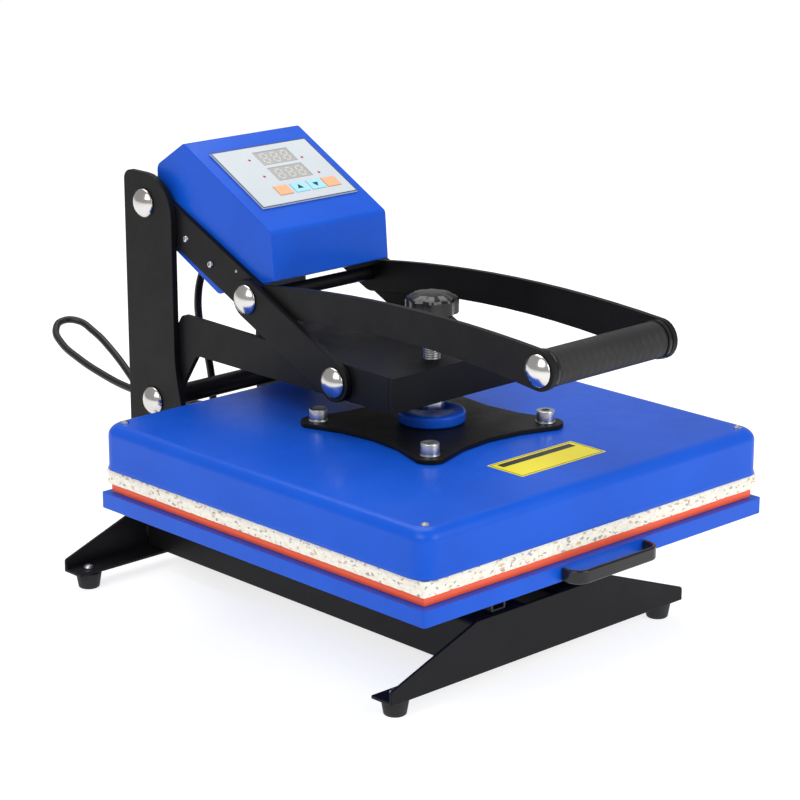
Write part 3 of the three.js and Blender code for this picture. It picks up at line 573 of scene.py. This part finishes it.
link_rod = middle("lever_link_rod")
bm = turned([(0, -65.5), (6.0, -65.5), (6.0, 65.5), (0, 65.5)])
put("lever_link_rod_bar", moved(bm, at(0, link_rod.y, link_rod.z) @ ALONG_X), "lever", PAINT_BLACK,
    "black_paint")
arm_rod = middle("arm_spacer_tube")
bm = turned([(6.6, -65.6), (8.6, -65.6), (8.9, -65.3), (8.9, 65.3), (8.6, 65.6), (6.6, 65.6),
             (6.6, -65.6)])
put("arm_spacer_tube_turned", moved(bm, at(0, arm_rod.y, arm_rod.z) @ ALONG_X), "arm", PAINT_BLACK,
    "black_paint", "arm_spacer_tube")
print("pivots dressed")

# %% [markdown]
# The grip is a rubber sleeve on a steel tube between two plastic end collars. The sleeve has a soft
# shoulder at each end and faint rings from its mould.

# %% Grip
grip = middle("grip_sleeve")
GRIP_LAY = at(0, grip.y, grip.z) @ ALONG_X
sleeve_profile = [(12.8, -61.7), (14.2, -61.7), (15, -60.6)]
for ring in range(-7, 8):
    sleeve_profile += [(15, 8 * ring - 0.7), (14.8, 8 * ring), (15, 8 * ring + 0.7)]
sleeve_profile += [(15, 60.6), (14.2, 61.7), (12.8, 61.7), (12.8, -61.7)]
put("grip_sleeve_turned", moved(turned(sleeve_profile, 56), GRIP_LAY), "lever", RUBBER,
    "rubber_black", "grip_sleeve", crease=50)
for side, sign in (("left", -1), ("right", 1)):
    collar = turned([(0, 62.1), (14.6, 62.1), (16, 62.8), (16, 65), (15.2, 65.7), (0, 65.7)], 48)
    put(f"{side}_grip_collar", moved(collar, at(0, grip.y, grip.z)
        @ Matrix.Rotation(sign * pi / 2, 4, "Y")), "lever", PLASTIC, "black_plastic")
tube = turned([(0, -62), (12.5, -62), (12.5, 62), (0, 62)], 40)
put("grip_tube", moved(tube, GRIP_LAY), "lever", STEEL, "plain_steel")
print("grip at", [round(c, 4) for c in grip])

# %% [markdown]
# The feet are tapered rubber buttons with a rounded sole, screwed up into the legs. The screw's
# flat head shows on top of each leg's ledge.

# %% Feet
def screw_head(radius, height, recess=0.35):
    """A low domed head with a round dimple for the driver."""
    dip = radius * recess
    return turned([(0, 0), (radius, 0), (radius, 0.3 * height), (0.75 * radius, 0.85 * height),
                   (dip, height), (0.8 * dip, 0.45 * height), (0, 0.4 * height)], 24)


for row in ("front", "rear"):
    for side in ("left", "right"):
        node = f"{row}_{side}_foot"
        low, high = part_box(node)
        spot = at((low.x + high.x) / 2, (low.y + high.y) / 2, 0)
        profile = [(0, 0.6), (3.2, 0.6), (3.6, 0), (7.5, 0), *arc(2, 7.5, 2, -80, 0, 5),
                   (11.4, 13), (11, 14.2), (0, 14.2)]
        put(node + "_turned", moved(turned(profile, 40), spot), "base", RUBBER, "rubber_black",
            node, crease=50)
        head = moved(screw_head(4.6, 2.6), spot @ at(0, 0, 17.7 * MM))
        put(node + "_screw", head, "base", ZINC, "plain_steel")
print("feet done")

# %% [markdown]
# The pressure screw is a coarse steel thread with a plain shank below it. A thread at this size
# reads as close rings, so the profile zigzags once for every turn of the thread. A hexagon nut
# locks it under the knob.

# %% Pressure screw and nut
screw = middle("pressure_screw")
screw_low, screw_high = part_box("pressure_screw")
SCREW_SPOT = at(screw.x, screw.y, 0)
PITCH, CREST, ROOT = 2.0, 7.4, 6.5
thread_from = screw_low.z / MM + 9
thread_to = screw_high.z / MM - 1
turns = int((thread_to - thread_from) / PITCH)
profile = [(0, screw_low.z / MM), (6.4, screw_low.z / MM), (6.4, thread_from - 1)]
for turn in range(turns):
    profile += [(ROOT, thread_from + PITCH * turn), (CREST, thread_from + PITCH * (turn + 0.5))]
profile += [(ROOT, thread_to), (0, thread_to)]
put("pressure_screw_threaded", moved(turned(profile, 36), SCREW_SPOT), "screw", STEEL,
    "plain_steel", "pressure_screw", crease=25)


def hex_nut(flats, height):
    bm = bmesh.new()
    bmesh.ops.create_cone(bm, cap_ends=True, segments=6, radius1=flats / sqrt(3) * MM,
                          radius2=flats / sqrt(3) * MM, depth=height * MM)
    bmesh.ops.bevel(bm, geom=bm.edges[:], offset=0.5 * MM, segments=2, affect="EDGES",
                    profile=0.5, material=-1)
    return bm


put("knob_lock_nut", moved(hex_nut(21, 7), SCREW_SPOT @ at(0, 0, 270.6 * MM)), "screw", ZINC,
    "plain_steel")
put("screw_collar_nut", moved(hex_nut(19, 7), SCREW_SPOT @ at(0, 0, 197 * MM)), "screw", ZINC,
    "plain_steel")
print("thread turns", turns)

# %% [markdown]
# The knob is a moulded star with eight soft lobes and a domed top. A circle of many points is
# pushed in and out once per lobe, then raised in steps that follow a dome.

# %% Knob
def lobed_knob(radius, swell, lobes, low, high, dome):
    bm = bmesh.new()
    made = bmesh.ops.create_circle(bm, cap_ends=True, segments=lobes * 14, radius=radius * MM)
    for vert in made["verts"]:
        angle = atan2(vert.co.y, vert.co.x)
        vert.co *= 1 + swell / radius * cos(lobes * angle)
        vert.co.z = low * MM
    face = bm.faces[:][0]
    steps = [(0.0, 1.0), (1.2, 1.045), (high - low - dome, 1.045)]
    steps += [(high - low - dome + dome * sin(radians(a)), 0.1 + 0.945 * cos(radians(a)))
              for a in (18, 36, 52, 66, 78, 90)]
    size = 1.0
    for height, scale in steps[1:]:
        face = bmesh.ops.extrude_face_region(bm, geom=[face])["geom"]
        top = [item for item in face if isinstance(item, bmesh.types.BMVert)]
        bmesh.ops.scale(bm, vec=(scale / size, scale / size, 1), verts=top)
        for vert in top:
            vert.co.z = (low + height) * MM
        size = scale
        face = next(item for item in face if isinstance(item, bmesh.types.BMFace))
    bmesh.ops.recalc_face_normals(bm, faces=bm.faces)
    return bm


knob_low, knob_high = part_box("pressure_knob")
knob = lobed_knob(20.1, 1.25, 8, knob_low.z / MM, knob_high.z / MM, 6.5)
put("pressure_knob_moulded", moved(knob, SCREW_SPOT), "screw", PLASTIC, "black_plastic",
    "pressure_knob", crease=60)
print("knob from", round(knob_low.z, 4), "to", round(knob_high.z, 4))

# %% [markdown]
# Under the screw a glossy blue disc spreads the load on the spider plate. Four cap screws with
# washers hold the spider down, and each has a hexagon socket: the top face is inset, the inset's
# corners are drawn out to a hexagon, and it is pushed down.

# %% Disc and cap screws
disc_low, disc_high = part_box("pressure_disc")
low, high = disc_low.z / MM, disc_high.z / MM
profile = [(0, low), *arc(2.5, 25.9, low + 2.5, -90, 0, 5), *arc(2.5, 25.9, high - 2.5, 0, 90, 5),
           (15, high), (14, high - 0.8), (0, high - 0.8)]
put("pressure_disc_turned", moved(turned(profile, 64), SCREW_SPOT), "head", PAINT_BLUE,
    "blue_paint", "pressure_disc", crease=50)


def cap_screw(radius, height, socket_flats, socket_depth):
    bm = bmesh.new()
    bmesh.ops.create_cone(bm, cap_ends=True, segments=36, radius1=radius * MM, radius2=radius * MM,
                          depth=height * MM)
    top = max(bm.faces, key=lambda face: face.calc_center_median().z)
    rim = [edge for edge in top.edges]
    bmesh.ops.bevel(bm, geom=rim, offset=0.7 * MM, segments=2, affect="EDGES", profile=0.5,
                    material=-1)
    top = max(bm.faces, key=lambda face: face.calc_center_median().z)
    bmesh.ops.inset_region(bm, faces=[top], thickness=1.2 * MM)
    for vert in top.verts:
        angle = (atan2(vert.co.y, vert.co.x) + pi / 6) % (pi / 3) - pi / 6
        reach = socket_flats / 2 * MM / cos(angle)
        vert.co.xy = vert.co.xy.normalized() * reach
    pushed = bmesh.ops.extrude_face_region(bm, geom=[top])["geom"]
    bmesh.ops.translate(bm, vec=(0, 0, -socket_depth * MM),
                        verts=[item for item in pushed if isinstance(item, bmesh.types.BMVert)])
    bmesh.ops.delete(bm, geom=[top], context="FACES")
    return moved(bm, at(0, 0, height / 2 * MM))


WASHERS = 2.8    # a flat washer with a spring washer on it
SPIDER_BOLT = 67
spider_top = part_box("spider_plate")[1].z
for x in (-SPIDER_BOLT, SPIDER_BOLT):
    for y in (-SPIDER_BOLT, SPIDER_BOLT):
        spot = SCREW_SPOT @ at(x * MM, y * MM, spider_top)
        washer = turned([(3, 0), (8.2, 0), (8.4, 0.3), (8.2, 1.2), (7.3, 1.3), (7.3, 1.6),
                         (7.7, 1.8), (7.7, WASHERS), (3, WASHERS), (3, 0)], 36)
        name = f"spider_{'left' if x < 0 else 'right'}_{'front' if y < 0 else 'rear'}"
        put(name + "_washer", moved(washer, spot), "head", ZINC, "plain_steel")
        seat = spot @ at(0, 0, WASHERS * MM)
        put(name + "_cap_screw", moved(cap_screw(7.7, 7.4, 6.8, 4), seat), "head", ZINC,
            "plain_steel")
print("spider top", round(spider_top, 4))

# %% [markdown]
# Small plated screws hold the sheet metal together: one near each corner of the cover, three on
# each side of the control box, and two on the rear tie plate.

# %% Small screws
COVER_SCREW = 181
for x in (-COVER_SCREW, COVER_SCREW):
    for y in (-COVER_SCREW, COVER_SCREW):
        head = moved(screw_head(3.6, 1.6), at(x * MM, platen_y + y * MM, cover_high.z))
        name = f"cover_screw_{'left' if x < 0 else 'right'}_{'front' if y < 0 else 'rear'}"
        put(name, head, "head", ZINC, "plain_steel")
BOX_SCREWS = ((184.2, 309.8, 3.2), (151.4, 292.7, 3.2), (117.2, 292.6, 1.4))
for side, sign in (("left", -1), ("right", 1)):
    for number, (y, z, radius) in enumerate(BOX_SCREWS, 1):
        spot = at(sign * 71 * MM, y * MM, z * MM) @ Matrix.Rotation(sign * pi / 2, 4, "Y")
        put(f"{side}_box_screw_{number}", moved(screw_head(radius, 0.7 * radius), spot), "lever",
            ZINC, "plain_steel")
for side, sign in (("left", -1), ("right", 1)):
    spot = at(sign * 54 * MM, 0.2445, 0.090) @ ALONG_Y
    put(f"{side}_tie_screw", moved(screw_head(4.5, 2.4), spot), "base", ZINC, "plain_steel")
print("small screws placed")

# %% [markdown]
# The silicone pad is an even sheet of closed cells with a slightly soft edge. The felt above it is
# cut by hand: its sides are never quite straight. Both are slabs with a few rows of points down
# their sides, and noise moves the side points in by less than a millimetre.

# %% Pads
def pad(node, name, material, slot, rows, across, ragged, swell=0.0):
    low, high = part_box(node)
    bm = bmesh.new()
    bmesh.ops.create_grid(bm, x_segments=across, y_segments=across, size=0.5)
    size = high - low
    made = bmesh.ops.extrude_face_region(bm, geom=bm.faces[:])["geom"]
    raised = [item for item in made if isinstance(item, bmesh.types.BMVert)]
    bmesh.ops.translate(bm, vec=(0, 0, 1), verts=raised)
    uprights = [edge for edge in bm.edges if abs(edge.verts[0].co.z - edge.verts[1].co.z) > 0.5]
    bmesh.ops.subdivide_edges(bm, edges=uprights, cuts=rows - 1, use_grid_fill=True)
    for vert in bm.verts:
        x, y, z = vert.co
        side = max(abs(x), abs(y)) > 0.4999
        place = Vector((low.x + (x + 0.5) * size.x, low.y + (y + 0.5) * size.y, low.z + z * size.z))
        if side:
            pull = abs(noise.noise(place * 160)) + 0.5 * abs(noise.noise(place * 420))
            pull = ragged * pull + swell * (2 * z - 1) ** 2
            if abs(x) > 0.4999:
                place.x -= pull * (1 if x > 0 else -1)
            if abs(y) > 0.4999:
                place.y -= pull * (1 if y > 0 else -1)
        vert.co = place
    bmesh.ops.recalc_face_normals(bm, faces=bm.faces)
    piece = put(name, bm, "drawer", material, slot, node, crease=50)
    return piece


pad("silicone_pad", "silicone_pad_soft", SILICONE, "orange_silicone", 5, 40, 0.00025, 0.0007)
pad("felt_pad", "felt_pad_pressed", FELT, "wool_felt", 7, 170, 0.0011, 0.0003)
print("pads done")

# %% [markdown]
# Glands keep the lead from kinking where it enters a wall. Each is a moulded cone with rings that
# make it flexible, standing on a flange.

# %% Glands
def gland_profile(length):
    profile = [(0, 0.3), (8, 0.3), (8, 2.4), (7.4, 3), (5.7, 3.4)]
    rings = 6
    for ring in range(rings):
        z = 4.5 + (length - 6) * ring / rings
        radius = 5.6 - ring / rings
        groove = radius - 0.7
        profile += [(radius, z), (radius, z + 1.5), (groove, z + 1.9), (groove, z + 2.9)]
    return profile + [(4.6, length - 0.6), (4.2, length), (0, length)]


rise = atan2(307 - 266, 229.3 - 148.5)
box_gland_spot = at(-0.025, 0.205, (266 + (205 - 148.5) * (307 - 266) / (229.3 - 148.5)) * MM)
put("box_gland_moulded", moved(turned(gland_profile(24), 32),
    box_gland_spot @ Matrix.Rotation(pi + rise, 4, "X")), "lever", PLASTIC, "black_plastic",
    "box_gland", crease=50)
put("head_gland_moulded", moved(turned(gland_profile(24), 32),
    at(-0.020, cover_high.y, 0.150) @ ALONG_Y), "head", PLASTIC, "black_plastic", "head_gland",
    crease=50)
print("glands done")

# %% [markdown]
# The control panel is a printed film on the sloping face of the box. Its frame of reference has X
# to the right, Y up the slope and Z out of the face, so each small thing on it is placed flat and
# then carried onto the slope.

# %% Panel frame
SLOPE = atan2(391.8 - 331.5, 192 - 77.8)
FACE = at(0, 77.8 * MM, 331.5 * MM) @ Matrix.Rotation(SLOPE, 4, "X")
FILM_TOP = 2.0


def plate(x0, x1, y0, y1, z0, z1):
    bm = bmesh.new()
    bmesh.ops.create_cube(bm, size=1)
    bmesh.ops.scale(bm, vec=((x1 - x0) * MM, (y1 - y0) * MM, (z1 - z0) * MM), verts=bm.verts)
    bmesh.ops.translate(bm, vec=((x0 + x1) / 2 * MM, (y0 + y1) / 2 * MM, (z0 + z1) / 2 * MM),
                        verts=bm.verts)
    return bm


def frame_of_bars(x0, x1, y0, y1, width, z0, z1):
    return joined(plate(x0, x1, y0, y0 + width, z0, z1), plate(x0, x1, y1 - width, y1, z0, z1),
                  plate(x0, x0 + width, y0 + width, y1 - width, z0, z1),
                  plate(x1 - width, x1, y0 + width, y1 - width, z0, z1))


border = frame_of_bars(-52.4, 55.6, 29, 108, 1.2, FILM_TOP, FILM_TOP + 0.08)
put("panel_border", moved(border, FACE), "lever", INK_NAVY, "panel_film")
print("slope of the face", round(SLOPE * 180 / pi, 2))

# %% [markdown]
# Behind each window stands a three-digit display. Its unlit segments are a little paler than the
# filter in front of them. A digit is seven short bars, and three digits lean slightly to the right.

# %% Displays
def digit(left, low, width, height, bar):
    half = height / 2
    flat = [(left + bar, left + width - bar, level - bar / 2, level + bar / 2)
            for level in (low, low + half, low + 2 * half)]
    tall = [(x, x + bar, low + step * half + bar * 0.7, low + (step + 1) * half - bar * 0.7)
            for x in (left, left + width - bar) for step in (0, 1)]
    return joined(*[plate(x0, x1, y0, y1, 0, 0.12) for x0, x1, y0, y1 in flat + tall])


WINDOW_TOP = 1.62
DIGIT_LEAN = 0.09
for name, low in (("lower", 59), ("upper", 81.5)):
    glass = plate(-10.9, 26.9, low + 0.1, low + 17.9, 0.4, WINDOW_TOP)
    put(f"{name}_display_window", moved(glass, FACE), "lever", DISPLAY, "black_plastic")
    digits = joined(*[digit(-7.2 + 11.6 * i, low + 2.8, 7.8, 12.2, 1.5) for i in range(3)])
    lean = Matrix.Identity(4)
    lean[0][1] = DIGIT_LEAN
    shift = at(-DIGIT_LEAN * (low + 9) * MM, 0, WINDOW_TOP * MM)
    put(f"{name}_display_digits", moved(digits, FACE @ shift @ lean), "lever", SEGMENT,
        "panel_film")
print("displays done")

# %% [markdown]
# The two blue keys carry an arrowhead each, and small lamps sit beside the windows. Marks of this
# kind are printed, so they stand only a tenth of a millimetre above the film.

# %% Key marks and lamps
KEY_TOP = 2.6


def arrowhead(x, y, size, point_up):
    bm = bmesh.new()
    bmesh.ops.create_cone(bm, cap_ends=True, segments=3, radius1=size * MM, radius2=size * MM,
                          depth=0.12 * MM)
    turn = Matrix.Rotation(pi / 2 if point_up else -pi / 2, 4, "Z")
    top = max(v.co.x for v in bm.verts)
    spin_fix = Matrix.Rotation(0 if abs(top - size * MM) < 1e-6 else -pi / 2, 4, "Z")
    return moved(bm, at(x * MM, y * MM, (KEY_TOP + 0.06) * MM) @ turn @ spin_fix)


put("up_mark", moved(arrowhead(2, 46.3, 3.6, True), FACE), "lever", INK_BLACK, "panel_film")
put("down_mark", moved(arrowhead(20.5, 46.7, 3.6, False), FACE), "lever", INK_BLACK, "panel_film")
lamp_places = ((-21.2, 90.7), (-22.2, 67.2), (33.5, 83.5), (35.3, 60.7))
for number, (x, y) in enumerate(lamp_places, 1):
    lamp = turned([(0, 0), (1.3, 0), (1.3, 0.25), (0.9, 0.45), (0, 0.5)], 20)
    put(f"panel_lamp_{number}", moved(lamp, FACE @ at(x * MM, y * MM, FILM_TOP * MM)), "lever",
        LAMP_RED, "panel_film")
print("panel lamps", len(lamp_places))

# %% [markdown]
# A plain yellow label with a black band lies on the cover in front of the spider. It carries no
# words or signs.

# %% Label
label_x, label_y = 3 * MM, platen_y - 131 * MM
sheet = plate(-48.5, 48.5, -19.5, 19.5, 0, 0.25)
put("cover_label", moved(sheet, at(label_x, label_y, cover_high.z)), "head", LABEL, "panel_film")
marks = joined(frame_of_bars(-47, 47, -18, 18, 0.7, 0.25, 0.32),
               plate(-42, 42, 7.5, 15, 0.25, 0.32))
put("cover_label_band", moved(marks, at(label_x, label_y, cover_high.z)), "head", INK_BLACK,
    "panel_film")
print("label at", round(label_x, 4), round(label_y, 4))

# %% [markdown]
# Short weld beads join the rails to the legs and the uprights to their soles. A bead is a row of
# overlapping puddles: a capsule whose radius swells once for every puddle.

# %% Weld beads
def bead(length, radius, puddles):
    profile = [(0, 0)]
    for step in range(puddles * 4 + 1):
        along = step / (puddles * 4)
        end = min(1, 5 * along, 5 * (1 - along))
        swell = 1 + 0.13 * cos(2 * pi * puddles * along)
        profile.append((max(0.15, radius * sqrt(end) * swell), length * along))
    return turned(profile + [(0, length)], 14)


leg_inner_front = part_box("front_leg")[0].y + 3 * MM
leg_inner_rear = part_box("rear_leg")[1].y - 3 * MM
for side, sign in (("left", -1), ("right", 1)):
    for row, y in (("front", leg_inner_front), ("rear", leg_inner_rear)):
        spot = at(sign * 80 * MM, y, 24 * MM)
        put(f"{side}_{row}_rail_weld", moved(bead(32, 2.0, 9), spot), "base", PAINT_BLACK,
            "black_paint")
    low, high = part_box(f"{side}_upright")
    spot = at(sign * 71.5 * MM, low.y + 8 * MM, low.z + 4 * MM) @ ALONG_Y
    put(f"{side}_upright_weld", moved(bead(50, 2.0, 13), spot), "base", PAINT_BLACK, "black_paint")
print("welds done")

# %% [markdown]
# The press stands on a wide, flat, pale floor. The floor glows a little, so it stays white out to
# the horizon and keeps only a faint shadow. Large soft lights from the left, the front and above
# give the long pale reflections that sheet metal needs, and the world stays dim so that black
# stays black.

# %% Stage and light
def make_floor():
    bm = bmesh.new()
    bmesh.ops.create_grid(bm, x_segments=1, y_segments=1, size=12)
    mesh = bpy.data.meshes.new("floor")
    bm.to_mesh(mesh)
    bm.free()
    floor = bpy.data.objects.new("floor", mesh)
    bpy.context.scene.collection.objects.link(floor)
    material = make_material("studio_paper", (0.42, 0.42, 0.42), (0.41, 0.41, 0.41), rough=0.9,
                             uneven=0.02, relief=60, bump=0.02, Emission_Strength=0.78)
    shader = material.node_tree.nodes["Principled BSDF"]
    shader.inputs["Emission Color"].default_value = (1, 1, 1, 1)
    floor.data.materials.append(material)
    return floor


def soft_light(name, place, aim, size, power):
    data = bpy.data.lights.new(name, "AREA")
    data.shape = "SQUARE"
    data.size = size
    data.energy = power
    light = bpy.data.objects.new(name, data)
    light.location = place
    light.rotation_euler = (Vector(aim) - Vector(place)).to_track_quat("-Z", "Y").to_euler()
    bpy.context.scene.collection.objects.link(light)


make_floor()
soft_light("key_light", (-1.9, -0.6, 1.9), (0, 0, 0.15), 1.4, 30)
soft_light("front_light", (0.6, -2.4, 1.3), (0, 0, 0.15), 1.6, 34)
soft_light("top_light", (0.4, 0.8, 2.4), (0, 0, 0.1), 1.8, 30)
world = bpy.data.worlds.new("studio")
world.use_nodes = True
world.node_tree.nodes["Background"].inputs["Color"].default_value = (1, 1, 1, 1)
world.node_tree.nodes["Background"].inputs["Strength"].default_value = 0.42
bpy.context.scene.world = world
bpy.context.scene.view_settings.view_transform = "Standard"
